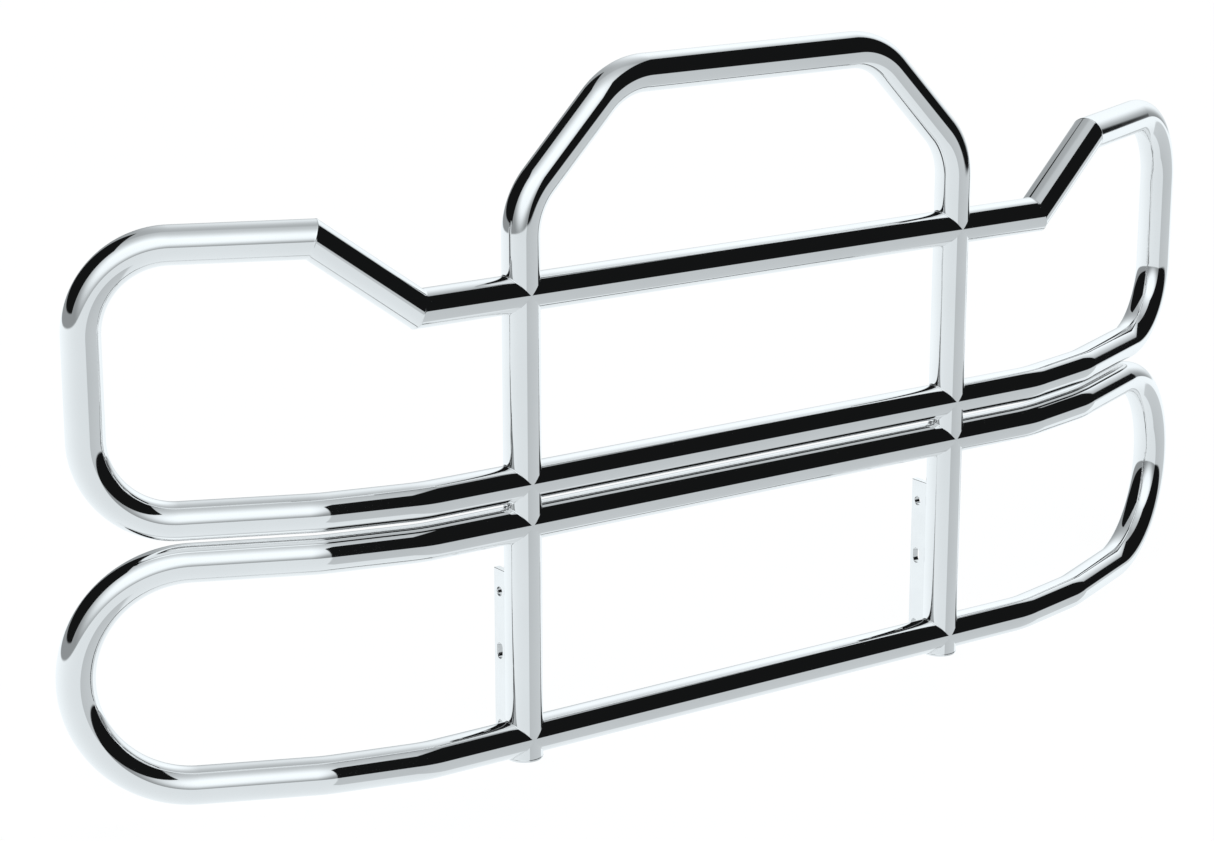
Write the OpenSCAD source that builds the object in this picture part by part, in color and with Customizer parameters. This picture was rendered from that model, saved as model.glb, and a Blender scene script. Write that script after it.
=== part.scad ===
// Front grille guard for a heavy truck: a welded frame of bent and mitred tube.
// X is across the truck, Y points back towards the truck, Z is up. The origin is under
// the middle of the guard, halfway through its width and its depth, at the uprights' feet.

/* [Tube] */
// Outside diameter of every tube
tube_d = 63.5; // [50.8:0.1:68]
// Wall thickness of every tube
tube_wall = 3; // [1.5:0.1:5]

/* [Uprights and hoop] */
// Distance between the uprights' axes
upright_spacing = 926; // [880:1:1000]
// Height where the uprights' axes would meet the hoop's sloping axes
hoop_shoulder_z = 915; // [890:1:940]
// Height of the hoop's top axis
hoop_top_z = 1109; // [1080:1:1200]
// Length of the hoop's top, corner to corner of its axis
hoop_top_w = 546; // [400:1:560]
// Bend radius of the hoop's axis
hoop_bend_r = 127; // [90:1:140]
// How far the uprights run below the bottom crossbar's axis
upright_foot = 36.5; // [36:0.5:80]
// Thickness of the discs that close the uprights
cap_t = 3; // [2:0.5:4]

/* [Crossbars] */
// Height of the lower middle bar's axis
lower_middle_z = 379; // [350:1:380]
// Height of the upper middle bar's axis
upper_middle_z = 449.25; // [449:0.25:500]
// Height of the top crossbar's axis
top_bar_z = 769.5; // [700:0.5:790]

/* [Wings] */
// Distance from the centre to the first backward bend
wing_bend_1_x = 661; // [620:1:680]
// Distance from the centre to the second backward bend
wing_bend_2_x = 828; // [800:1:850]
// Sweep of the wing between the two bends, in degrees
wing_sweep_1 = 13.5; // [8:0.1:15]
// Sweep of the wing outside the second bend, in degrees
wing_sweep_2 = 23.4; // [18:0.1:28]
// Bend radius of the sweep bends
wing_bend_r = 180; // [120:1:220]
// Height of the upper wing's top axis
shoulder_z = 896; // [870:1:930]
// Distance from the centre to the upper wing's outer axis
upper_wing_x = 1160; // [1130:1:1180]
// Bend radius of the upper wing's outer corners
upper_corner_r = 140; // [100:1:160]
// Distance from the centre to the lower wing's outermost axis
lower_wing_x = 1190; // [1160:1:1200]

/* [Mount plates] */
// Thickness of each plate
plate_t = 12; // [8:0.5:16]
// Distance from the uprights' axes back to the plates' rear edges
plate_back_y = 80.3; // [80:0.1:110]
// Height of the plates' top edges
plate_top_z = 281; // [265:1:290]
// Diameter of the round bolt holes, and width of the slot
hole_d = 16; // [12:0.5:18]
// End to end length of the slot
slot_l = 28; // [24:1:40]
// Distance from the holes' centres to the plates' rear edges
hole_edge = 16; // [15:0.5:25]
// Height of the lower hole
low_hole_z = 3; // [-5:0.5:10]
// Height of the slot's centre
slot_z = 136; // [110:1:150]
// Height of the upper hole
high_hole_z = 242; // [220:1:245]

/* [Welds] */
// Height of a ground weld above the tube
weld_h = 0.8; // [0.5:0.1:1.5]
// Half the width of a ground weld
weld_half_w = 2.5; // [1.5:0.1:4]
// Leg of the fillets on the plates
plate_weld_leg = 5; // [3:0.5:8]

/* [Hidden] */
$fn = 64;
tube_r = tube_d / 2;
bore_r = tube_r - tube_wall;
upright_x = upright_spacing / 2;
// Gap between a coped tube end and the upright that it fits round
cope_gap = 0.3;
// Gap between each tube and a mitre's plane
mitre_gap = 0.1;
// Gap between a weld's underside and the tubes
weld_lift = 0.02;
// Overrun of a cutting shape past the solid that it cuts
over = 1;
// A bend's wall is this much thicker on each face, and each straight run laps into it
bend_swell = 0.1;
bend_lap = 0.5;
// The wings' run back at each bend and at each outer end
bend_2_y = (wing_bend_2_x - wing_bend_1_x) * tan(wing_sweep_1);
function wing_y(x) = bend_2_y + (x - wing_bend_2_x) * tan(wing_sweep_2);
// The lower wing's end is a half circle from one bar to the other
lower_end_r = lower_middle_z / 2;
plate_front_y = tube_r + weld_lift;
plate_bottom_z = -upright_foot;
// Pieces are drawn about the bottom crossbar's axis. From there the guard reaches forward
// to its crossing welds and back to the lower wings' ends, and this is the middle of that
mid_y = (wing_y(lower_wing_x) + bend_swell - weld_h) / 2;
hole_y = plate_back_y - hole_edge;
steel = [0.78, 0.80, 0.82];
bead = [0.66, 0.68, 0.70];

// Corners of each bent or mitred axis
hoop_axis = [
    [-upright_x, 0, -upright_foot + cap_t + mitre_gap],
    [-upright_x, 0, hoop_shoulder_z],
    [-hoop_top_w / 2, 0, hoop_top_z],
    [hoop_top_w / 2, 0, hoop_top_z],
    [upright_x, 0, hoop_shoulder_z],
    [upright_x, 0, -upright_foot + cap_t + mitre_gap]
];
inner_mitre = [wing_bend_1_x, 0, top_bar_z];
outer_mitre = [wing_bend_2_x, bend_2_y, shoulder_z];
function bar_to_wing(x, z) = [
    [upright_x, 0, z],
    [wing_bend_1_x, 0, z],
    [wing_bend_2_x, bend_2_y, z],
    [x, wing_y(x), z]
];
upper_wing_axis = concat(
    bar_to_wing(upper_wing_x, upper_middle_z),
    [[upper_wing_x, wing_y(upper_wing_x), shoulder_z], outer_mitre]
);
upper_wing_bends = [wing_bend_r, wing_bend_r, upper_corner_r, upper_corner_r];
lower_wing_bends = [wing_bend_r, wing_bend_r];

function unit(v) = v / norm(v);
// Angle by which the axis turns at corner i
function turn(axis, i) =
    acos(unit(axis[i] - axis[i - 1]) * unit(axis[i + 1] - axis[i]));
// Length of axis that the bend takes on each side of corner i, with none at the ends
function setback(axis, bends, i) =
    i == 0 || i == len(axis) - 1 ? 0 : bends[i - 1] * tan(turn(axis, i) / 2) - bend_lap;

// Direction e carried round the turn from direction u to direction v
function carry(e, u, v) =
    let (n = unit(cross(u, v)), c = u * v, s = norm(cross(u, v)))
        e * c + cross(n, e) * s + n * (n * e) * (1 - c);

// Puts local X, Y and Z on three directions square to one another, with the origin at p
module place(x, y, z, p) {
    multmatrix([
        [x[0], y[0], z[0], p[0]],
        [x[1], y[1], z[1], p[1]],
        [x[2], y[2], z[2], p[2]],
        [0, 0, 0, 1]
    ])
        children();
}

// Turns local Z to the direction from a to b, with its origin at a
module aim(a, b) {
    d = b - a;
    translate(a)
        rotate([0, acos(d[2] / norm(d)), atan2(d[1], d[0])])
            children();
}

// Ring of the tube's section
module section(outer, inner) {
    difference() {
        circle(r = outer);
        circle(r = inner);
    }
}

// Straight hollow run from a to b. The ring starts on side e of the run
module straight(a, b, e, outer = tube_r, inner = bore_r) {
    z = unit(b - a);
    place(e, cross(z, e), z, a) linear_extrude(norm(b - a)) section(outer, inner);
}

// Ring of a bend's section, which starts at angle_0 round the ring, turned through an
// angle about local Z
module ring_bend(r, angle, angle_0) {
    rotate_extrude(angle = angle)
        translate([r, 0]) rotate(angle_0)
            section(tube_r + bend_swell, bore_r - bend_swell);
}

// Bend of radius r at corner i of an axis: local X points from the bend's centre to its
// start, and local Z is the bend's own axis
module bend(axis, i, r, e) {
    u = unit(axis[i] - axis[i - 1]);
    v = unit(axis[i + 1] - axis[i]);
    n = unit(cross(u, v));
    x = cross(u, n);
    start = axis[i] - u * r * tan(turn(axis, i) / 2);
    place(x, u, n, start - x * r)
        ring_bend(r, turn(axis, i), atan2(e * n, e * x));
}

// Hollow tube along an axis from corner i on, with a bend at each inner corner. Every
// ring starts on side e, carried round the bends, so that the runs' and bends' edges align
module bent_tube(axis, bends, e, i = 0) {
    u = unit(axis[i + 1] - axis[i]);
    straight(
        axis[i] + u * setback(axis, bends, i),
        axis[i + 1] - u * setback(axis, bends, i + 1),
        e
    );
    if (i < len(axis) - 2) {
        bend(axis, i + 1, bends[i], e);
        bent_tube(axis, bends, carry(e, u, unit(axis[i + 2] - axis[i + 1])), i + 1);
    }
}

// The shape that an upright leaves in the tubes and plates that fit round it
module upright_cutter(x, gap) {
    translate([x, 0, -upright_foot - over])
        cylinder(r = tube_r + gap, h = hoop_shoulder_z);
}

// Half space behind a mitre's plane at point p: the plane halves the angle between
// the tube from a and the tube to b, and side is -1 for the first and 1 for the second
module mitre_cutter(a, p, b, side) {
    n = unit(unit(p - a) + unit(b - p)) * side;
    reach = 3 * tube_d;
    aim(p - n * mitre_gap, p - n * tube_d) cylinder(r = reach, h = reach);
}

module left_side() {
    mirror([1, 0, 0]) children();
}

// Moves a piece from the bottom crossbar's axis to its place about the guard's origin
module stand() {
    translate([0, -mid_y, upright_foot]) children();
}

module center_hoop() {
    color(steel) stand()
        bent_tube(hoop_axis, [for (i = [1:4]) hoop_bend_r], [0, 1, 0]);
}

module crossbar(z) {
    color(steel) stand()
        difference() {
            straight([-upright_x, 0, z], [upright_x, 0, z], [0, 0, 1]);
            upright_cutter(-upright_x, cope_gap);
            upright_cutter(upright_x, cope_gap);
        }
}

module top_stub() {
    color(steel) stand()
        difference() {
            straight([upright_x, 0, top_bar_z], inner_mitre + [tube_d, 0, 0], [0, 0, 1]);
            upright_cutter(upright_x, cope_gap);
            mitre_cutter([upright_x, 0, top_bar_z], inner_mitre, outer_mitre, -1);
        }
}

module shoulder_brace() {
    run = unit(outer_mitre - inner_mitre) * tube_d;
    color(steel) stand()
        difference() {
            straight(inner_mitre - run, outer_mitre + run, unit([-run[1], run[0], 0]));
            mitre_cutter([upright_x, 0, top_bar_z], inner_mitre, outer_mitre, 1);
            mitre_cutter(inner_mitre, outer_mitre, upper_wing_axis[4], -1);
        }
}

module upper_wing_loop() {
    run = unit(outer_mitre - upper_wing_axis[4]) * tube_d;
    long_axis = [for (i = [0:5]) i < 5 ? upper_wing_axis[i] : outer_mitre + run];
    color(steel) stand()
        difference() {
            bent_tube(long_axis, upper_wing_bends, [0, 0, 1]);
            upright_cutter(upright_x, cope_gap);
            mitre_cutter(inner_mitre, outer_mitre, upper_wing_axis[4], 1);
        }
}

// Two swept bars joined by a half-round end, which turns about a level axis square to
// the outer wing
module lower_wing_loop() {
    end_x = lower_wing_x - lower_end_r * cos(wing_sweep_2);
    lap = bend_lap * [cos(wing_sweep_2), sin(wing_sweep_2), 0];
    color(steel) stand()
        difference() {
            union() {
                for (level = [0, 1]) {
                    bar = bar_to_wing(end_x, level * lower_middle_z);
                    side = [0, 0, 1 - 2 * level];
                    bent_tube([bar[0], bar[1], bar[2], bar[3] + lap], lower_wing_bends, side);
                }
                translate([end_x, wing_y(end_x), lower_end_r])
                    rotate([90, 0, wing_sweep_2]) rotate([0, 0, -90])
                        ring_bend(lower_end_r, 180, 180);
            }
            upright_cutter(upright_x, cope_gap);
        }
}

// Hole through a plate, along X
module plate_hole(z) {
    translate([upright_x - plate_t, hole_y, z])
        rotate([0, 90, 0]) cylinder(d = hole_d, h = 2 * plate_t);
}

// The plate before it is drilled, grown by a gap on every side
module plate_blank(gap = 0) {
    translate([upright_x - plate_t / 2 - gap, plate_front_y - gap, plate_bottom_z - gap])
        cube([
            plate_t + 2 * gap,
            plate_back_y - plate_front_y + 2 * gap,
            plate_top_z - plate_bottom_z + 2 * gap
        ]);
}

module mount_plate() {
    slot_half = (slot_l - hole_d) / 2;
    color(steel) stand()
        difference() {
            plate_blank();
            plate_hole(low_hole_z);
            plate_hole(high_hole_z);
            plate_hole(slot_z - slot_half);
            plate_hole(slot_z + slot_half);
            translate([upright_x - plate_t, hole_y - hole_d / 2, slot_z - slot_half])
                cube([2 * plate_t, hole_d, 2 * slot_half]);
        }
}

module upright_cap() {
    color(steel) stand()
        translate([upright_x, 0, -upright_foot]) cylinder(r = tube_r, h = cap_t);
}

// Weld round the crossing of an upright and the bars at height z: a low sleeve over
// both tubes, kept only near the two slanting planes where equal tubes meet
module crossing_weld(z) {
    reach = 2 * tube_r + weld_h;
    color(bead) stand()
        difference() {
            intersection() {
                union() {
                    translate([upright_x, 0, z - reach])
                        cylinder(r = tube_r + weld_h, h = 2 * reach);
                    translate([upright_x - reach, 0, z])
                        rotate([0, 90, 0]) cylinder(r = tube_r + weld_h, h = 2 * reach);
                }
                union()
                    for (slant = [45, -45])
                        translate([upright_x, 0, z])
                            rotate([0, slant, 0])
                                cube([2 * reach, 2 * reach, 2 * weld_half_w], center = true);
            }
            translate([upright_x, 0, z - 2 * reach])
                cylinder(r = tube_r + weld_lift, h = 4 * reach);
            translate([upright_x - 2 * reach, 0, z])
                rotate([0, 90, 0]) cylinder(r = tube_r + weld_lift, h = 4 * reach);
            if (z < tube_r) plate_blank(weld_lift);
        }
}

// Low sleeve round one of the tubes that meet at a mitre at p, kept only near the
// mitre's plane. side is -1 for the tube before the mitre and 1 for the tube after it
module mitre_sleeve(a, p, b, side) {
    u = side < 0 ? unit(p - a) : unit(b - p);
    across = unit(cross(unit(p - a), unit(b - p)));
    bisector = unit(unit(p - a) + unit(b - p));
    intersection() {
        straight(p - u * tube_d, p + u * tube_d, across, tube_r + weld_h, tube_r + weld_lift);
        aim(p + bisector * side * mitre_gap, p + bisector * side * tube_d)
            cylinder(r = 2 * tube_d, h = weld_half_w);
    }
}

// Weld round a mitre: one ring on each tube
module mitre_weld(a, p, b) {
    color(bead) stand()
        for (side = [-1, 1]) mitre_sleeve(a, p, b, side);
}

// Two fillets between the plate's faces and the upright, above the bottom bar
module plate_weld() {
    from_z = tube_r + plate_weld_leg;
    top_z = plate_top_z - plate_weld_leg;
    color(bead) stand()
        difference() {
            for (side = [-1, 1])
                translate([upright_x + side * (plate_t / 2 + weld_lift), 0, from_z])
                    linear_extrude(top_z - from_z)
                        polygon([
                            [0, tube_r - plate_weld_leg],
                            [0, plate_front_y + plate_weld_leg],
                            [side * plate_weld_leg, plate_front_y],
                            [side * plate_weld_leg, tube_r - plate_weld_leg]
                        ]);
            upright_cutter(upright_x, weld_lift);
        }
}

module cap_weld() {
    color(bead) stand()
        difference() {
            translate([upright_x, 0, cap_t - upright_foot - weld_half_w / 2])
                linear_extrude(weld_half_w)
                    section(tube_r + weld_h, tube_r + weld_lift);
            plate_blank(weld_lift);
        }
}

center_hoop();
crossbar(top_bar_z);  // top_crossbar
crossbar(upper_middle_z);  // upper_middle_crossbar
crossbar(lower_middle_z);  // lower_middle_crossbar
crossbar(0);  // bottom_crossbar
top_stub();  // right_top_stub
left_side() top_stub();  // left_top_stub
shoulder_brace();  // right_shoulder_brace
left_side() shoulder_brace();  // left_shoulder_brace
upper_wing_loop();  // right_upper_wing_loop
left_side() upper_wing_loop();  // left_upper_wing_loop
lower_wing_loop();  // right_lower_wing_loop
left_side() lower_wing_loop();  // left_lower_wing_loop
mount_plate();  // right_mount_plate
left_side() mount_plate();  // left_mount_plate
upright_cap();  // right_upright_cap
left_side() upright_cap();  // left_upright_cap
crossing_weld(top_bar_z);  // right_top_bar_weld
left_side() crossing_weld(top_bar_z);  // left_top_bar_weld
crossing_weld(upper_middle_z);  // right_upper_middle_weld
left_side() crossing_weld(upper_middle_z);  // left_upper_middle_weld
crossing_weld(lower_middle_z);  // right_lower_middle_weld
left_side() crossing_weld(lower_middle_z);  // left_lower_middle_weld
crossing_weld(0);  // right_bottom_weld
left_side() crossing_weld(0);  // left_bottom_weld
mitre_weld([upright_x, 0, top_bar_z], inner_mitre, outer_mitre);  // right_inner_mitre_weld
left_side() mitre_weld([upright_x, 0, top_bar_z], inner_mitre, outer_mitre);  // left_inner_mitre_weld
mitre_weld(inner_mitre, outer_mitre, upper_wing_axis[4]);  // right_outer_mitre_weld
left_side() mitre_weld(inner_mitre, outer_mitre, upper_wing_axis[4]);  // left_outer_mitre_weld
plate_weld();  // right_plate_weld
left_side() plate_weld();  // left_plate_weld
cap_weld();  // right_cap_weld
left_side() cap_weld();  // left_cap_weld
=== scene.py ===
"""Looks of a polished tubular grille guard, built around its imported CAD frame.

X is across the truck, Y points back towards it, and Z is up. Lengths are in metres.
"""

import math

import bmesh
import bpy
import numpy as np
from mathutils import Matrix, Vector


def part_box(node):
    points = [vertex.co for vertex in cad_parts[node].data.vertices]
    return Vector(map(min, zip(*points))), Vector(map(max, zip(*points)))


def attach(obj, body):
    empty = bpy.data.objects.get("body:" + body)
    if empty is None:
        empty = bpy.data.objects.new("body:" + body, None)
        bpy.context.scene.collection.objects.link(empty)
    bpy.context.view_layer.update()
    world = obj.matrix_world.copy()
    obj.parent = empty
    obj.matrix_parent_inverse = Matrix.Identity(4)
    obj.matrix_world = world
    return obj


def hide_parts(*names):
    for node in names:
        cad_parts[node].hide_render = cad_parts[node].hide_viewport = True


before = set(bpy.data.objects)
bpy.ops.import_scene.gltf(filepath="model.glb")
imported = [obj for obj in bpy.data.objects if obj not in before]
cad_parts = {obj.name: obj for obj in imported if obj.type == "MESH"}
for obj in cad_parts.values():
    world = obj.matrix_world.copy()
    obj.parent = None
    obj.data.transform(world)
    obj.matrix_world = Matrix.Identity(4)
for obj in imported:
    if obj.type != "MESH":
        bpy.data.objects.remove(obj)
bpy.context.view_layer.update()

MM = 0.001

# ---------------------------------------------------------------- sizes read from the frame


def middle(node):
    """The centre of a CAD node's box."""
    low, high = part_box(node)
    return (low + high) / 2


def extent(node):
    """The size of a CAD node's box."""
    low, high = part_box(node)
    return high - low


# Pieces are built about the middle of the bottom crossbar's axis, then moved there
AXIS = middle("bottom_crossbar")
TUBE_R = extent("bottom_crossbar").y / 2
UPRIGHT_X = middle("right_upright_cap").x
FOOT_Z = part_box("right_upright_cap")[0].z - AXIS.z
CAP_T = extent("right_upright_cap").z
BOTTOM_Z = 0
LOWER_MIDDLE_Z = middle("lower_middle_crossbar").z - AXIS.z
UPPER_MIDDLE_Z = middle("upper_middle_crossbar").z - AXIS.z
TOP_BAR_Z = middle("top_crossbar").z - AXIS.z

# ---------------------------------------------------------------- sizes the boxes don't give

WALL = 3 * MM
BORE_R = TUBE_R - WALL
BEND_SWELL = 0.1 * MM
HOOP_SHOULDER_Z = 915 * MM
HOOP_TOP_HALF = 273 * MM
HOOP_TOP_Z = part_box("center_hoop")[1].z - AXIS.z - TUBE_R - BEND_SWELL
HOOP_BEND_R = 127 * MM
WING_BEND_1_X = 661 * MM
WING_BEND_2_X = 828 * MM
WING_SWEEP_1 = math.radians(13.5)
WING_SWEEP_2 = math.radians(23.4)
WING_BEND_R = 180 * MM
SHOULDER_Z = 896 * MM
UPPER_WING_X = 1160 * MM
UPPER_CORNER_R = 140 * MM
LOWER_WING_X = 1190 * MM
LOWER_END_R = (LOWER_MIDDLE_Z - BOTTOM_Z) / 2

# Mesh fineness
SEGMENTS = 96
BEND_STEP = math.radians(2)

# Radius of the ground fillets, and how far welds reach below the tubes' skins
FILLET_R = 2.5 * MM
SUNK = 1 * MM

WING_BEND_2_Y = (WING_BEND_2_X - WING_BEND_1_X) * math.tan(WING_SWEEP_1)


def wing_y(x):
    """How far back the wing's axis is, outside its second bend."""
    return WING_BEND_2_Y + (x - WING_BEND_2_X) * math.tan(WING_SWEEP_2)


def bar_to_wing(x, z):
    """Corners of a level bar's axis from the upright out to x along the swept wing."""
    return [
        (UPRIGHT_X, 0, z),
        (WING_BEND_1_X, 0, z),
        (WING_BEND_2_X, WING_BEND_2_Y, z),
        (x, wing_y(x), z),
    ]


INNER_MITRE = np.array((WING_BEND_1_X, 0, TOP_BAR_Z))
OUTER_MITRE = np.array((WING_BEND_2_X, WING_BEND_2_Y, SHOULDER_Z))
UPPER_CORNER = np.array((UPPER_WING_X, wing_y(UPPER_WING_X), SHOULDER_Z))
STUB_START = np.array((UPRIGHT_X, 0, TOP_BAR_Z))

# ---------------------------------------------------------------- vectors and meshes


def unit(v):
    return v / np.linalg.norm(v)


def turned(v, axis, angle):
    """v turned about a unit axis by the right-hand rule."""
    return (
        v * math.cos(angle)
        + np.cross(axis, v) * math.sin(angle)
        + axis * (axis @ v) * (1 - math.cos(angle))
    )


def make_object(name, points, faces, normals=None):
    """A mesh object from points about the bottom crossbar's axis.

    normals holds one direction per face corner, in the faces' order.
    """
    mesh = bpy.data.meshes.new(name)
    mesh.from_pydata((np.asarray(points) + np.array(AXIS)).tolist(), [], faces)
    mesh.shade_smooth()
    if normals is not None:
        mesh.normals_split_custom_set(np.asarray(normals).tolist())
    obj = bpy.data.objects.new(name, mesh)
    bpy.context.scene.collection.objects.link(obj)
    return obj


def mirrored(points, faces, normals):
    """The same surface reflected in the plane X = 0, with its faces turned to suit."""
    flip = np.array((-1.0, 1.0, 1.0))
    sizes = [len(f) for f in faces]
    starts = np.cumsum([0] + sizes[:-1])
    order = np.concatenate([np.arange(s + n - 1, s - 1, -1) for s, n in zip(starts, sizes)])
    return points * flip, [tuple(reversed(f)) for f in faces], (normals * flip)[order]


class Surface:
    """Collects points, faces and face corners' normals for one mesh."""

    def __init__(self):
        self.points, self.faces, self.normals = [], [], []

    def add_points(self, rows):
        first = len(self.points)
        self.points.extend(np.asarray(rows).reshape(-1, 3))
        return first

    def add_face(self, corners, normals):
        self.faces.append(tuple(int(c) for c in corners))
        self.normals.extend(normals)

    def add_grid(self, first, rows, columns, normals, flip=False, ring=False):
        """Quads between rows of points, each row a loop. ring joins the last row to the first."""
        for i in range(rows if ring else rows - 1):
            m = (i + 1) % rows
            for j in range(columns):
                k = (j + 1) % columns
                quad = [i * columns + j, i * columns + k, m * columns + k, m * columns + j]
                if flip:
                    quad.reverse()
                self.add_face([first + q for q in quad], [normals[q] for q in quad])

    def add_rod(self, points, rows, columns, normals, flip):
        """A closed rod through rows of points, with a flat face on each end."""
        first = self.add_points(points)
        self.add_grid(first, rows, columns, normals, flip)
        start = [first + k for k in range(columns)]
        end = [k + (rows - 1) * columns for k in start]
        self.add_flat(start if flip else start[::-1])
        self.add_flat(end[::-1] if flip else end)

    def add_flat(self, corners):
        """A face whose corners share its own plane's normal, by Newell's method."""
        p = np.array([self.points[c] for c in corners])
        n = np.cross(p, np.roll(p, -1, axis=0)).sum(0)
        length = np.linalg.norm(n)
        n = n / length if length > 0 else np.array((0.0, 0.0, 1.0))
        self.add_face(corners, [n] * len(corners))

    def arrays(self):
        return np.array(self.points), self.faces, np.array(self.normals)


# ---------------------------------------------------------------- tubes


def stations(corners, bends, side):
    """Centres, directions and start sides of the rings along an axis with bends."""
    points = [np.array(c, float) for c in corners]
    side = np.array(side, float)
    rings = [(points[0], unit(points[1] - points[0]), side)]
    for i, radius in enumerate(bends, 1):
        u = unit(points[i] - points[i - 1])
        v = unit(points[i + 1] - points[i])
        angle = math.acos(max(-1.0, min(1.0, u @ v)))
        axis = unit(np.cross(u, v))
        spoke = -np.cross(axis, u) * radius
        centre = points[i] - u * radius * math.tan(angle / 2) - spoke
        steps = max(2, math.ceil(angle / BEND_STEP))
        for k in range(steps + 1):
            a = angle * k / steps
            ring = centre + turned(spoke, axis, a)
            if np.linalg.norm(ring - rings[-1][0]) > SUNK:
                rings.append((ring, turned(u, axis, a), turned(side, axis, a)))
        side = turned(side, axis, angle)
    rings.append((points[-1], unit(points[-1] - points[-2]), side))
    return rings


def square_end(points, direction):
    return points


def coped_end(upright_x, outward):
    """Cuts a level bar's end to sit on an upright's surface, on the outward side."""

    def cut(points, direction):
        out = points.copy()
        reach = np.sqrt(np.maximum(TUBE_R**2 - points[:, 1] ** 2, 0))
        out[:, 0] = upright_x + outward * reach
        return out

    return cut


def mitred_end(before, corner, after):
    """Cuts a tube's end on the plane that halves the angle at corner."""
    normal = unit(unit(corner - before) + unit(after - corner))

    def cut(points, direction):
        travel = ((corner - points) @ normal) / (direction @ normal)
        return points + np.outer(travel, direction)

    return cut


def tube_surface(corners, bends, side, cut_start, cut_end):
    """A closed hollow tube: its outer skin, its bore, and the two ends between them."""
    rings = stations(corners, bends, side)
    turn = np.linspace(0, 2 * math.pi, SEGMENTS, endpoint=False)
    surface = Surface()
    firsts = []
    for radius, inward in ((TUBE_R, False), (BORE_R, True)):
        skin, normals = [], []
        for i, (centre, direction, start) in enumerate(rings):
            across = np.cross(direction, start)
            spokes = np.outer(np.cos(turn), start) + np.outer(np.sin(turn), across)
            row = centre + radius * spokes
            if i == 0:
                row = cut_start(row, direction)
            if i == len(rings) - 1:
                row = cut_end(row, direction)
            skin.append(row)
            normals.append(-spokes if inward else spokes)
        first = surface.add_points(np.concatenate(skin))
        firsts.append(first)
        surface.add_grid(first, len(rings), SEGMENTS, np.concatenate(normals), inward)
    last = (len(rings) - 1) * SEGMENTS
    for j in range(SEGMENTS):
        k = (j + 1) % SEGMENTS
        outer, bore = firsts
        surface.add_flat([outer + k, outer + j, bore + j, bore + k])
        surface.add_flat([outer + last + j, outer + last + k, bore + last + k, bore + last + j])
    return surface.arrays()


UP = (0, 0, 1)
BACK = (0, 1, 0)


def hoop_surface():
    foot = FOOT_Z + CAP_T
    corners = [
        (-UPRIGHT_X, 0, foot),
        (-UPRIGHT_X, 0, HOOP_SHOULDER_Z),
        (-HOOP_TOP_HALF, 0, HOOP_TOP_Z),
        (HOOP_TOP_HALF, 0, HOOP_TOP_Z),
        (UPRIGHT_X, 0, HOOP_SHOULDER_Z),
        (UPRIGHT_X, 0, foot),
    ]
    return tube_surface(corners, [HOOP_BEND_R] * 4, BACK, square_end, square_end)


def crossbar_surface(z):
    ends = [(-UPRIGHT_X, 0, z), (UPRIGHT_X, 0, z)]
    return tube_surface(ends, [], UP, coped_end(-UPRIGHT_X, 1), coped_end(UPRIGHT_X, -1))


def stub_surface():
    ends = [STUB_START, INNER_MITRE]
    cut = mitred_end(STUB_START, INNER_MITRE, OUTER_MITRE)
    return tube_surface(ends, [], UP, coped_end(UPRIGHT_X, 1), cut)


def brace_surface():
    run = OUTER_MITRE - INNER_MITRE
    side = unit(np.array((-run[1], run[0], 0)))
    return tube_surface(
        [INNER_MITRE, OUTER_MITRE],
        [],
        side,
        mitred_end(STUB_START, INNER_MITRE, OUTER_MITRE),
        mitred_end(INNER_MITRE, OUTER_MITRE, UPPER_CORNER),
    )


def upper_wing_surface():
    corners = bar_to_wing(UPPER_WING_X, UPPER_MIDDLE_Z) + [UPPER_CORNER, OUTER_MITRE]
    bends = [WING_BEND_R, WING_BEND_R, UPPER_CORNER_R, UPPER_CORNER_R]
    cut = mitred_end(UPPER_CORNER, OUTER_MITRE, INNER_MITRE)
    return tube_surface(corners, bends, UP, coped_end(UPRIGHT_X, 1), cut)


def lower_wing_surface():
    corners = bar_to_wing(LOWER_WING_X, BOTTOM_Z) + bar_to_wing(LOWER_WING_X, LOWER_MIDDLE_Z)[::-1]
    bends = [WING_BEND_R, WING_BEND_R, LOWER_END_R, LOWER_END_R, WING_BEND_R, WING_BEND_R]
    cut = coped_end(UPRIGHT_X, 1)
    return tube_surface(corners, bends, UP, cut, cut)


# ---------------------------------------------------------------- welds

# Rows along a fillet, faces across it, and how far round the crossing it runs from the middle
FILLET_STEPS = 48
FILLET_ARC = 8
FILLET_STOP = math.radians(88.5)


def on_arc(start, end, span, share):
    """The direction a share of the way from start to end, which stand at an angle of span."""
    return (math.sin((1 - share) * span) * start + math.sin(share * span) * end) / math.sin(span)


def crossing_fillets(z):
    """Four fillets where an upright and level bars of one size cross at height z.

    A ball rolled in each corner touches both tubes, and its centre stays on a plane at 45 degrees.
    """
    surface = Surface()
    reach = TUBE_R + FILLET_R
    sunk = TUBE_R - SUNK
    for side_x in (-1, 1):
        for side_z in (-1, 1):
            rows, normals = [], []
            for s in np.linspace(-FILLET_STOP, FILLET_STOP, FILLET_STEPS):
                c, d = math.cos(s), math.sin(s)
                to_corner = np.array((side_x * c, d, side_z * c))
                offset = np.array((UPRIGHT_X, 0, z))
                ball = offset + to_corner * reach
                from_upright = np.array((-side_x * c, -d, 0))
                from_bar = np.array((0, -d, -side_z * c))
                span = math.acos(max(-1.0, min(1.0, from_upright @ from_bar)))
                for k in range(FILLET_ARC + 1):
                    t = k / FILLET_ARC
                    spoke = on_arc(from_upright, from_bar, span, t)
                    rows.append(ball + spoke * FILLET_R)
                    normals.append(-unit(spoke))
                rows.append(offset + to_corner * sunk)
                normals.append(-unit(to_corner))
            surface.add_rod(rows, FILLET_STEPS, FILLET_ARC + 2, normals, side_x * side_z < 0)
    return surface.arrays()


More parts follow.
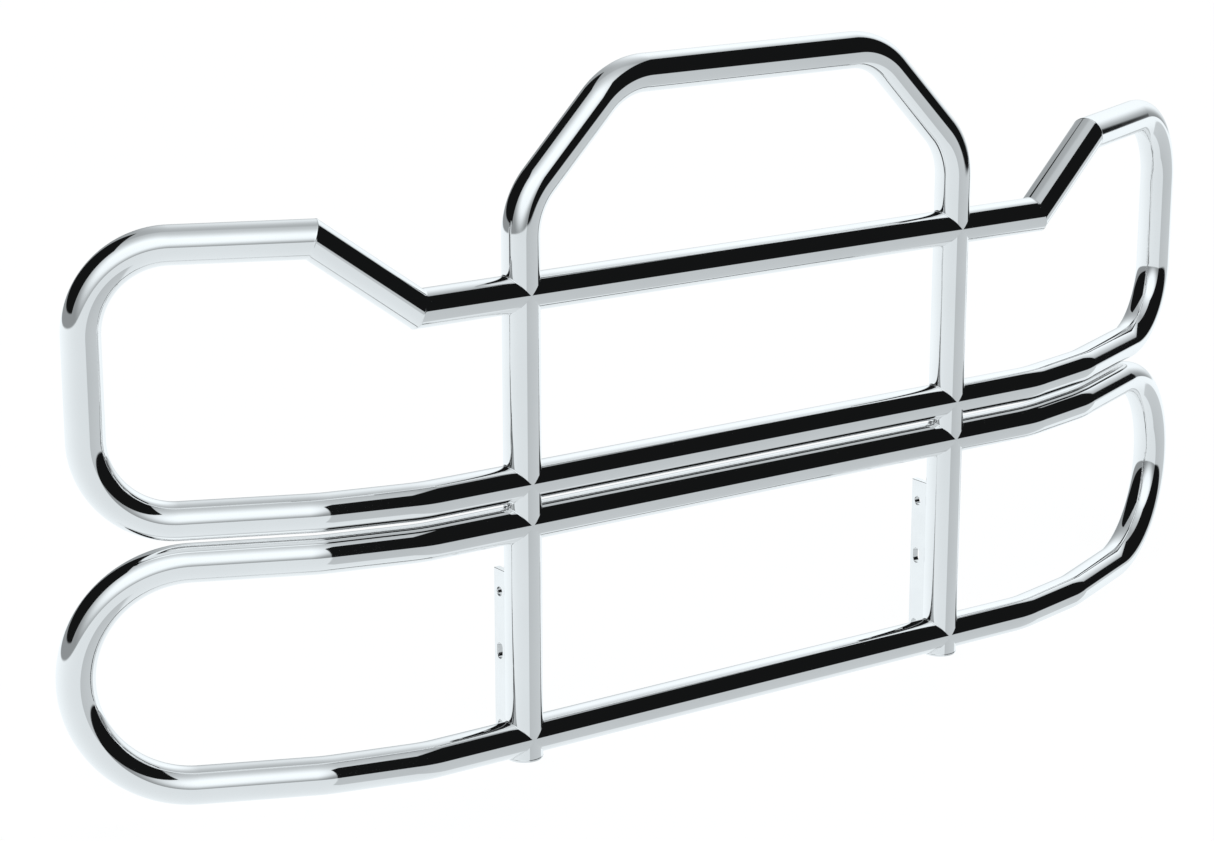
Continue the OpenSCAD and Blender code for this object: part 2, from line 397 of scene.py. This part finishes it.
# Half width and height of a mitre's bead, and faces across each half
BEAD_HALF_W = 2.2 * MM
BEAD_H = 0.25 * MM
BEAD_STEPS = 4


def mitre_bead(before, corner, after):
    """A low ground bead round a mitre, as one closed ring."""
    u, v = unit(corner - before), unit(after - corner)
    normal = unit(u + v)
    side = unit(np.cross(u, v))
    spokes_u = unit(np.cross(side, u))
    spokes_v = unit(np.cross(side, v))
    surface = Surface()
    rows, normals = [], []
    for a in np.linspace(0, 2 * math.pi, SEGMENTS, endpoint=False):
        out_u = math.cos(a) * side + math.sin(a) * spokes_u
        out_v = math.cos(a) * side + math.sin(a) * spokes_v
        on_line = corner + TUBE_R * out_u
        seam = on_line + u * (((corner - on_line) @ normal) / (u @ normal))
        for k in range(-BEAD_STEPS, BEAD_STEPS + 1):
            t = k / BEAD_STEPS
            out = unit(out_u * max(0.0, 0.5 - t) + out_v * max(0.0, 0.5 + t))
            along = u if k < 0 else v
            height = BEAD_H * (1 - t * t) ** 2
            rows.append(seam + along * (t * BEAD_HALF_W) + out * height)
            slope = 4 * BEAD_H * t * (1 - t * t) / BEAD_HALF_W
            normals.append(unit(out + along * slope))
        rows.append(seam + v * BEAD_HALF_W - out_v * SUNK)
        normals.append(-out_v)
        rows.append(seam - u * BEAD_HALF_W - out_u * SUNK)
        normals.append(-out_u)
    first = surface.add_points(rows)
    surface.add_grid(first, SEGMENTS, 2 * BEAD_STEPS + 3, normals, ring=True)
    return surface.arrays()


def lathe(profile, x, closed):
    """Turns an outline of (radius, height) points about the upright's axis."""
    surface = Surface()
    count = len(profile)
    outline = np.array(profile, float)
    turn = np.linspace(0, 2 * math.pi, SEGMENTS, endpoint=False)
    rows = []
    for a in turn:
        for r, z in outline:
            rows.append((x + r * math.cos(a), r * math.sin(a), z))
    first = surface.add_points(rows)
    for i in range(SEGMENTS):
        m = (i + 1) % SEGMENTS
        for j in range(count if closed else count - 1):
            k = (j + 1) % count
            edge = outline[k] - outline[j]
            out = unit(np.array((edge[1], -edge[0])))
            n_i, n_m = (
                np.array((out[0] * math.cos(turn[q]), out[0] * math.sin(turn[q]), out[1]))
                for q in (i, m)
            )
            surface.add_face(
                [first + i * count + j, first + m * count + j,
                 first + m * count + k, first + i * count + k],
                [n_i, n_m, n_m, n_i],
            )
    return surface, first, count


CAP_EDGE = 1.2 * MM
CAP_EDGE_STEPS = 6


def cap_surface():
    """A disc with a rounded lower edge, closed at the middle of each face."""
    z0, z1 = FOOT_Z, FOOT_Z + CAP_T
    corner = [
        (
            TUBE_R - CAP_EDGE + CAP_EDGE * math.sin(a),
            z0 + CAP_EDGE - CAP_EDGE * math.cos(a),
        )
        for a in np.linspace(0, math.pi / 2, CAP_EDGE_STEPS)
    ]
    surface, first, count = lathe(corner + [(TUBE_R, z1)], UPRIGHT_X, False)
    rim = range(SEGMENTS)
    surface.add_flat([first + i * count for i in reversed(rim)])
    surface.add_flat([first + i * count + count - 1 for i in rim])
    return surface.arrays()


CAP_BEAD_H = 0.5 * MM
CAP_BEAD_HALF_W = 1.6 * MM


def cap_bead_surface():
    """The ground bead where the cap meets the upright, as a closed ring."""
    z = FOOT_Z + CAP_T
    arc = [
        (TUBE_R + CAP_BEAD_H * math.sin(a), z - CAP_BEAD_HALF_W * math.cos(a))
        for a in np.linspace(0, math.pi, 2 * CAP_EDGE_STEPS)
    ]
    outline = arc + [(TUBE_R - SUNK, arc[-1][1]), (TUBE_R - SUNK, arc[0][1])]
    return lathe(outline, UPRIGHT_X, True)[0].arrays()


# ---------------------------------------------------------------- mount plates

PLATE_EDGE = 0.8 * MM
PLATE_EDGE_STEPS = 2
MERGE_GAP = 0.01 * MM
HOLE_POINTS = 48
HOLE_R = 8 * MM
HOLE_FROM_BACK = 16 * MM
SLOT_HALF = 6 * MM
LOW_HOLE_Z = 3 * MM
SLOT_Z = 136 * MM
HIGH_HOLE_Z = 242 * MM


def slot_outline(y, z, half):
    """Points round an upright slot, or round a hole when half is 0."""
    points = []
    for k in range(HOLE_POINTS):
        a = 2 * math.pi * (k + 0.5) / HOLE_POINTS
        lift = half if math.sin(a) > 0 else -half
        points.append((y + HOLE_R * math.cos(a), z + lift + HOLE_R * math.sin(a)))
    return points


def plate_mesh(name, node):
    """A drilled plate with eased edges, from a flat outline with holes."""
    low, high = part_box(node)
    curve = bpy.data.curves.new(name, "CURVE")
    curve.dimensions = "2D"
    curve.fill_mode = "BOTH"
    curve.extrude = (high.x - low.x) / 2 - PLATE_EDGE
    curve.bevel_depth = PLATE_EDGE
    curve.bevel_resolution = PLATE_EDGE_STEPS
    curve.offset = -PLATE_EDGE
    hole_y = high.y - HOLE_FROM_BACK
    base_z = AXIS.z
    outlines = [
        [(low.y, low.z), (high.y, low.z), (high.y, high.z), (low.y, high.z)],
        slot_outline(hole_y, base_z + LOW_HOLE_Z, 0),
        slot_outline(hole_y, base_z + SLOT_Z, SLOT_HALF),
        slot_outline(hole_y, base_z + HIGH_HOLE_Z, 0),
    ]
    for outline in outlines:
        spline = curve.splines.new("POLY")
        spline.points.add(len(outline) - 1)
        for point, (y, z) in zip(spline.points, outline):
            point.co = (y, z, 0, 1)
        spline.use_cyclic_u = True
    flat = bpy.data.objects.new(name + "_outline", curve)
    bpy.context.scene.collection.objects.link(flat)
    graph = bpy.context.evaluated_depsgraph_get()
    mesh = bpy.data.meshes.new_from_object(flat.evaluated_get(graph))
    bpy.data.objects.remove(flat)
    middle_x = (low.x + high.x) / 2
    work = bmesh.new()
    work.from_mesh(mesh)
    bmesh.ops.remove_doubles(work, verts=work.verts, dist=MERGE_GAP)
    for v in work.verts:
        v.co = Vector((middle_x + v.co.z, v.co.x, v.co.y))
    bmesh.ops.recalc_face_normals(work, faces=work.faces)
    if work.calc_volume(signed=True) < 0:
        bmesh.ops.reverse_faces(work, faces=work.faces)
    work.to_mesh(mesh)
    work.free()
    mesh.name = name
    obj = bpy.data.objects.new(name, mesh)
    bpy.context.scene.collection.objects.link(obj)
    mesh.shade_flat()
    return obj


PLATE_FILLET_R = 5 * MM
RIPPLE_H = 0.12 * MM
RIPPLE_LENGTH = 3.2 * MM
RIPPLE_POINTS = 5


def plate_fillets(node, weld_node):
    """The two weld fillets between an upright and its plate, with a bead's ripples."""
    low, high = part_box(node)
    upright_x = (low.x + high.x) / 2
    half = (high.x - low.x) / 2
    z_low, z_high = (corner.z - AXIS.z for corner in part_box(weld_node))
    rows_count = int((z_high - z_low) / RIPPLE_LENGTH * RIPPLE_POINTS)
    surface = Surface()
    for side in (-1, 1):
        ball_x = half + PLATE_FILLET_R
        ball_y = math.sqrt((TUBE_R + PLATE_FILLET_R) ** 2 - ball_x**2)
        to_tube = -unit(np.array((ball_x, ball_y)))
        to_plate = np.array((-1.0, 0.0))
        span = math.acos(to_tube @ to_plate)
        rows, normals = [], []
        for i in range(rows_count):
            z = z_low + (z_high - z_low) * i / (rows_count - 1)
            wave = RIPPLE_H * abs(math.sin(math.pi * (z - z_low) / RIPPLE_LENGTH))
            for k in range(FILLET_ARC + 1):
                t = k / FILLET_ARC
                spoke = on_arc(to_tube, to_plate, span, t)
                lift = PLATE_FILLET_R - wave * math.sin(math.pi * t)
                x, y = ball_x + spoke[0] * lift, ball_y + spoke[1] * lift
                rows.append((upright_x + side * x, y, z))
                normals.append((-side * spoke[0], -spoke[1], 0))
            rows.append((upright_x + side * (half - SUNK), TUBE_R - SUNK, z))
            normals.append((-side, -1, 0))
        normals = [unit(np.array(n, float)) for n in normals]
        surface.add_rod(rows, rows_count, FILLET_ARC + 2, normals, side < 0)
    return surface.arrays()


# ---------------------------------------------------------------- shader building


class Field:
    """A number that varies over a shader, built from nodes with + - * /."""

    def __init__(self, tree, socket):
        self.tree, self.socket = tree, socket

    def math(self, operation, *others):
        node = self.tree.nodes.new("ShaderNodeMath")
        node.operation = operation
        self.tree.links.new(self.socket, node.inputs[0])
        for i, other in enumerate(others, 1):
            if isinstance(other, Field):
                self.tree.links.new(other.socket, node.inputs[i])
            else:
                node.inputs[i].default_value = other
        return Field(self.tree, node.outputs[0])

    def __add__(self, other):
        return self.math("ADD", other)

    def __sub__(self, other):
        return self.math("SUBTRACT", other)

    def __mul__(self, other):
        return self.math("MULTIPLY", other)

    def __truediv__(self, other):
        return self.math("DIVIDE", other)

    def power(self, exponent):
        return self.math("POWER", exponent)

    def size(self):
        return self.math("ABSOLUTE")

    def step(self, low, high):
        """0 below low and 1 above high, with a smooth rise. low may be the larger."""
        node = self.tree.nodes.new("ShaderNodeMapRange")
        node.interpolation_type = "SMOOTHSTEP"
        self.tree.links.new(self.socket, node.inputs["Value"])
        rising = low <= high
        node.inputs["From Min"].default_value = low if rising else high
        node.inputs["From Max"].default_value = high if rising else low
        node.inputs["To Min"].default_value = 0 if rising else 1
        node.inputs["To Max"].default_value = 1 if rising else 0
        return Field(self.tree, node.outputs["Result"])

    def ramp(self, low, high):
        """0 at low and 1 at high in a straight line, held outside them."""
        node = self.tree.nodes.new("ShaderNodeMapRange")
        self.tree.links.new(self.socket, node.inputs["Value"])
        node.inputs["From Min"].default_value = low
        node.inputs["From Max"].default_value = high
        return Field(self.tree, node.outputs["Result"])

    def mix(self, other, share):
        """This field where share is 0, and other where share is 1."""
        node = self.tree.nodes.new("ShaderNodeMix")
        node.data_type = "FLOAT"
        self.tree.links.new(share.socket, node.inputs[0])
        self.tree.links.new(self.socket, node.inputs[2])
        if isinstance(other, Field):
            self.tree.links.new(other.socket, node.inputs[3])
        else:
            node.inputs[3].default_value = other
        return Field(self.tree, node.outputs[0])


def noise(tree, coordinates, scale, detail=2.0, stretch=(1, 1, 1)):
    """Noise over stretched coordinates, about 0.5 in the middle."""
    mapping = tree.nodes.new("ShaderNodeMapping")
    mapping.inputs["Scale"].default_value = stretch
    tree.links.new(coordinates, mapping.inputs["Vector"])
    node = tree.nodes.new("ShaderNodeTexNoise")
    node.inputs["Scale"].default_value = scale
    node.inputs["Detail"].default_value = detail
    tree.links.new(mapping.outputs["Vector"], node.inputs["Vector"])
    return Field(tree, node.outputs["Fac"])


# How bright a metal's dullest patches are beside its brightest
SHADE = 0.97


def metal(name, tint, shade, roughness, bump_height):
    """A metal. tint is its colour, and shade, roughness and bump_height make fields
    from the shader's tree and the object's own coordinates."""
    material = bpy.data.materials.new(name)
    material.use_nodes = True
    tree = material.node_tree
    shader = tree.nodes["Principled BSDF"]
    shader.inputs["Metallic"].default_value = 1.0
    place = tree.nodes.new("ShaderNodeTexCoord").outputs["Object"]
    colour = tree.nodes.new("ShaderNodeMix")
    colour.data_type = "RGBA"
    colour.inputs["A"].default_value = (*(c * SHADE for c in tint), 1)
    colour.inputs["B"].default_value = (*tint, 1)
    tree.links.new(shade(tree, place).socket, colour.inputs["Factor"])
    tree.links.new(colour.outputs["Result"], shader.inputs["Base Color"])
    tree.links.new(roughness(tree, place).socket, shader.inputs["Roughness"])
    bump = tree.nodes.new("ShaderNodeBump")
    bump.inputs["Distance"].default_value = 1.0
    tree.links.new(bump_height(tree, place).socket, bump.inputs["Height"])
    tree.links.new(bump.outputs["Normal"], shader.inputs["Normal"])
    return material


CHROME = (0.93, 0.93, 0.93)
# Noise stretched to lines that run up the object
FINE_LINES = (1, 1, 0.05)
GRINDING_LINES = (1, 1, 0.04)
GRINDING_GROOVES = (1, 1, 0.03)


def chrome_material():
    """Mirror-polished tube: a trace of haze and buffing marks, and very slight waves."""
    return metal(
        "polished_tube",
        CHROME,
        shade=lambda tree, place: noise(tree, place, scale=6).ramp(0.3, 0.6),
        roughness=lambda tree, place: (
            noise(tree, place, scale=30, detail=4).ramp(0.35, 0.75) * 0.03
            + noise(tree, place, scale=300, stretch=FINE_LINES).ramp(0.5, 0.8) * 0.015
            + 0.03
        ),
        bump_height=lambda tree, place: noise(tree, place, scale=14, detail=1) * (0.02 * MM),
    )


def weld_material():
    """Weld metal ground and polished a little less than the tube."""
    return metal(
        "polished_weld",
        CHROME,
        shade=lambda tree, place: noise(tree, place, scale=60).ramp(0.3, 0.6),
        roughness=lambda tree, place: (
            noise(tree, place, scale=250, detail=3).ramp(0.3, 0.8) * 0.10 + 0.07
        ),
        bump_height=lambda tree, place: noise(tree, place, scale=420, detail=3) * (0.05 * MM),
    )


def plate_material():
    """Ground plate: fine upright grinding lines under a bright finish."""
    return metal(
        "ground_plate",
        CHROME,
        shade=lambda tree, place: noise(tree, place, scale=25).ramp(0.3, 0.65),
        roughness=lambda tree, place: (
            noise(tree, place, scale=700, detail=3, stretch=GRINDING_LINES).ramp(0.3, 0.7) * 0.04
            + noise(tree, place, scale=20) * 0.04
            + 0.08
        ),
        bump_height=lambda tree, place: (
            noise(tree, place, scale=900, stretch=GRINDING_GROOVES) * (0.003 * MM)
        ),
    )


# ---------------------------------------------------------------- studio

# The studio's tones are those that the polished tubes show, so the share of light that
# polished metal keeps is divided out of them
MIRROR = CHROME[1] * 0.985
ROOM_TINT = (0.937, 1.0, 1.033, 1)

# Each pair below is where a tone starts to change and where the change ends. Walls and floor
# are measured on the unit direction, and flags and the patch by slope
WALL_TONE = 0.276
WALL_GAIN = 0.092
WALL_HEIGHTS = (-0.02, 0.83)
# Azimuth in degrees, height, half width, half height, the even middle's share, and strength
GLOWS = (
    (-37, 0.465, 0.823, 0.675, 0.343, 0.657),
    (125, 0.351, 0.673, 0.731, 0.355, 0.643),
)
GLOW_FRONT = (-0.1, 0.1)
FLAG_TONE = 0.007
FLAG_AZIMUTH = 45
FLAG_SIDES = (1.035, 0.985)
FLAG_FRONT = (-0.01, 0.01)
FRONT_FLAG_RISE_AZIMUTH = 52
FRONT_FLAG_BOTTOM = (-0.19, -0.15)
FRONT_FLAG_TOP = (1.72, 1.65)
REAR_FLAG_BOTTOM = (0.05, 0.08)
REAR_FLAG_TOP = (1.85, 1.78)
FLOOR_TONE = 0.80
FLOOR_GAIN_BACK = 0.10
FLOOR_GAIN_BACK_SQUARED = 0.03
FLOOR_GAIN_RIGHT = 0.12
FLOOR_RIGHT = (0.7, 1.0)
PATCH_TONE = 0.50
PATCH_GAIN = 0.09
PATCH_SIDES = (1.03, 0.95)
PATCH_NEAR_END = (-1.70, -1.46)
FLOOR_EDGE = (-0.09, -0.12)
LEAST = 0.0001


def studio_light(tree, direction):
    """How bright the studio is in each direction.

    It is a pale room with two square black flags, one ahead to the right and one behind to
    the left, two soft glows on the walls between them, and a pale polished floor that mirrors
    the front flag as a grey patch.
    """
    split = tree.nodes.new("ShaderNodeSeparateXYZ")
    tree.links.new(direction, split.inputs[0])
    x, y, z = (Field(tree, split.outputs[i]) for i in range(3))

    def toward(azimuth):
        """How far a direction points to an azimuth, which is 0 ahead and 90 to the right."""
        a = math.radians(azimuth)
        return x * math.sin(a) - y * math.cos(a)

    walls = z.step(*WALL_HEIGHTS) * WALL_GAIN + WALL_TONE
    for azimuth, height, half_width, half_height, core, strength in GLOWS:
        sideways = toward(azimuth + 90) / half_width
        upward = (z - height) / half_height
        reach = (sideways * sideways + upward * upward).power(0.5)
        glow = reach.step(1, core) * toward(azimuth).step(*GLOW_FRONT)
        walls = walls + glow * strength

    ahead = toward(FLAG_AZIMUTH)
    across = toward(FLAG_AZIMUTH + 90)
    distance = ahead.size().math("MAXIMUM", LEAST)
    in_front = ahead.step(*FLAG_FRONT)
    behind = in_front.math("SUBTRACT", 1).size()
    sideways = across.size() / distance
    flag_width = sideways.step(*FLAG_SIDES)
    rise = z / toward(FRONT_FLAG_RISE_AZIMUTH).size().math("MAXIMUM", LEAST)
    front_flag = flag_width * in_front
    front_flag = front_flag * rise.step(*FRONT_FLAG_BOTTOM) * rise.step(*FRONT_FLAG_TOP)
    rear_rise = z / distance
    rear_flag = flag_width * behind
    rear_flag = rear_flag * rear_rise.step(*REAR_FLAG_BOTTOM) * rear_rise.step(*REAR_FLAG_TOP)
    flags = (front_flag + rear_flag).math("MINIMUM", 1)

    floor = y * y * FLOOR_GAIN_BACK_SQUARED + y * FLOOR_GAIN_BACK + FLOOR_TONE
    floor = floor + x.step(*FLOOR_RIGHT) * FLOOR_GAIN_RIGHT
    patch_tone = (across / ahead).ramp(-1, 1) * PATCH_GAIN + PATCH_TONE
    patch = sideways.step(*PATCH_SIDES) * in_front * rise.step(*PATCH_NEAR_END)
    floor = floor.mix(patch_tone, patch)
    room = walls.mix(floor, z.step(*FLOOR_EDGE))
    return room.mix(FLAG_TONE, flags) / MIRROR


def build_studio():
    world = bpy.data.worlds.new("studio")
    bpy.context.scene.world = world
    world.use_nodes = True
    tree = world.node_tree
    tree.nodes.clear()
    direction = tree.nodes.new("ShaderNodeTexCoord").outputs["Generated"]
    room = tree.nodes.new("ShaderNodeBackground")
    room.inputs["Color"].default_value = ROOM_TINT
    tree.links.new(studio_light(tree, direction).socket, room.inputs["Strength"])
    backdrop = tree.nodes.new("ShaderNodeBackground")
    backdrop.inputs["Color"].default_value = WHITE
    seen = tree.nodes.new("ShaderNodeLightPath").outputs["Is Camera Ray"]
    mix = tree.nodes.new("ShaderNodeMixShader")
    tree.links.new(seen, mix.inputs[0])
    tree.links.new(room.outputs[0], mix.inputs[1])
    tree.links.new(backdrop.outputs[0], mix.inputs[2])
    output = tree.nodes.new("ShaderNodeOutputWorld")
    tree.links.new(mix.outputs[0], output.inputs[0])


FLOOR_HALF = 30.0
FLOOR_GAP = 1 * MM
FLOOR_GLOW = 0.95
FLOOR_COLOUR = 0.12
WHITE = (1, 1, 1, 1)


def build_floor():
    """A plain pale floor under the feet. Polished pieces reflect the studio, not this floor."""
    z = FOOT_Z - FLOOR_GAP
    h = FLOOR_HALF
    corners = [(-h, -h, z), (h, -h, z), (h, h, z), (-h, h, z)]
    floor = make_object("floor", corners, [(0, 1, 2, 3)])
    material = bpy.data.materials.new("pale_floor")
    material.use_nodes = True
    tree = material.node_tree
    tree.nodes.clear()
    glow = tree.nodes.new("ShaderNodeEmission")
    glow.inputs["Color"].default_value = WHITE
    glow.inputs["Strength"].default_value = FLOOR_GLOW
    matte = tree.nodes.new("ShaderNodeBsdfDiffuse")
    matte.inputs["Color"].default_value = (FLOOR_COLOUR, FLOOR_COLOUR, FLOOR_COLOUR, 1)
    both = tree.nodes.new("ShaderNodeAddShader")
    tree.links.new(glow.outputs[0], both.inputs[0])
    tree.links.new(matte.outputs[0], both.inputs[1])
    output = tree.nodes.new("ShaderNodeOutputMaterial")
    tree.links.new(both.outputs[0], output.inputs["Surface"])
    floor.data.materials.append(material)
    floor.visible_glossy = False
    floor.visible_diffuse = False


# The camera looks down from ahead and to the left
VIEW_AZIMUTH = math.radians(-35.04)
VIEW_ELEVATION = math.radians(15.24)
VIEW_DISTANCE = 5.1318
VIEW_TARGET = Vector((-0.292, 0, 0.5274))  # from the bottom crossbar's axis
FOCAL_SHARE = 2.5168  # focal length over the sensor's width
CLIP_END = 200


def build_camera():
    data = bpy.data.cameras.new("camera")
    data.sensor_fit = "HORIZONTAL"
    data.lens = FOCAL_SHARE * data.sensor_width
    data.clip_end = CLIP_END
    camera = bpy.data.objects.new("camera", data)
    bpy.context.scene.collection.objects.link(camera)
    away = Vector(
        (
            math.sin(VIEW_AZIMUTH) * math.cos(VIEW_ELEVATION),
            -math.cos(VIEW_AZIMUTH) * math.cos(VIEW_ELEVATION),
            math.sin(VIEW_ELEVATION),
        )
    )
    camera.location = AXIS + VIEW_TARGET + away * VIEW_DISTANCE
    camera.rotation_euler = away.to_track_quat("Z", "Y").to_euler()
    bpy.context.scene.camera = camera


# ---------------------------------------------------------------- assembly

materials = {
    "tube": chrome_material(),
    "weld": weld_material(),
    "plate": plate_material(),
}


def finish_piece(obj, node, slot):
    obj.data.materials.clear()
    obj.data.materials.append(materials[slot])
    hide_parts(node)
    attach(obj, "root")


def add_single(node, arrays, slot):
    finish_piece(make_object(node + "_piece", *arrays), node, slot)


def add_pair(node, arrays, slot):
    """The right piece, and its mirror image on the left."""
    add_single("right_" + node, arrays, slot)
    add_single("left_" + node, mirrored(*arrays), slot)


add_single("center_hoop", hoop_surface(), "tube")
for bar, bar_z in (
    ("top_crossbar", TOP_BAR_Z),
    ("upper_middle_crossbar", UPPER_MIDDLE_Z),
    ("lower_middle_crossbar", LOWER_MIDDLE_Z),
    ("bottom_crossbar", BOTTOM_Z),
):
    add_single(bar, crossbar_surface(bar_z), "tube")
add_pair("top_stub", stub_surface(), "tube")
add_pair("shoulder_brace", brace_surface(), "tube")
add_pair("upper_wing_loop", upper_wing_surface(), "tube")
add_pair("lower_wing_loop", lower_wing_surface(), "tube")
add_pair("upright_cap", cap_surface(), "tube")
for weld, weld_z in (
    ("top_bar_weld", TOP_BAR_Z),
    ("upper_middle_weld", UPPER_MIDDLE_Z),
    ("lower_middle_weld", LOWER_MIDDLE_Z),
    ("bottom_weld", BOTTOM_Z),
):
    add_pair(weld, crossing_fillets(weld_z), "weld")
add_pair("inner_mitre_weld", mitre_bead(STUB_START, INNER_MITRE, OUTER_MITRE), "weld")
add_pair("outer_mitre_weld", mitre_bead(INNER_MITRE, OUTER_MITRE, UPPER_CORNER), "weld")
add_pair("cap_weld", cap_bead_surface(), "weld")
add_pair("plate_weld", plate_fillets("right_mount_plate", "right_plate_weld"), "weld")
for plate in ("left_mount_plate", "right_mount_plate"):
    finish_piece(plate_mesh(plate + "_piece", plate), plate, "plate")

build_studio()
build_floor()
build_camera()
bpy.context.scene.view_settings.view_transform = "Standard"
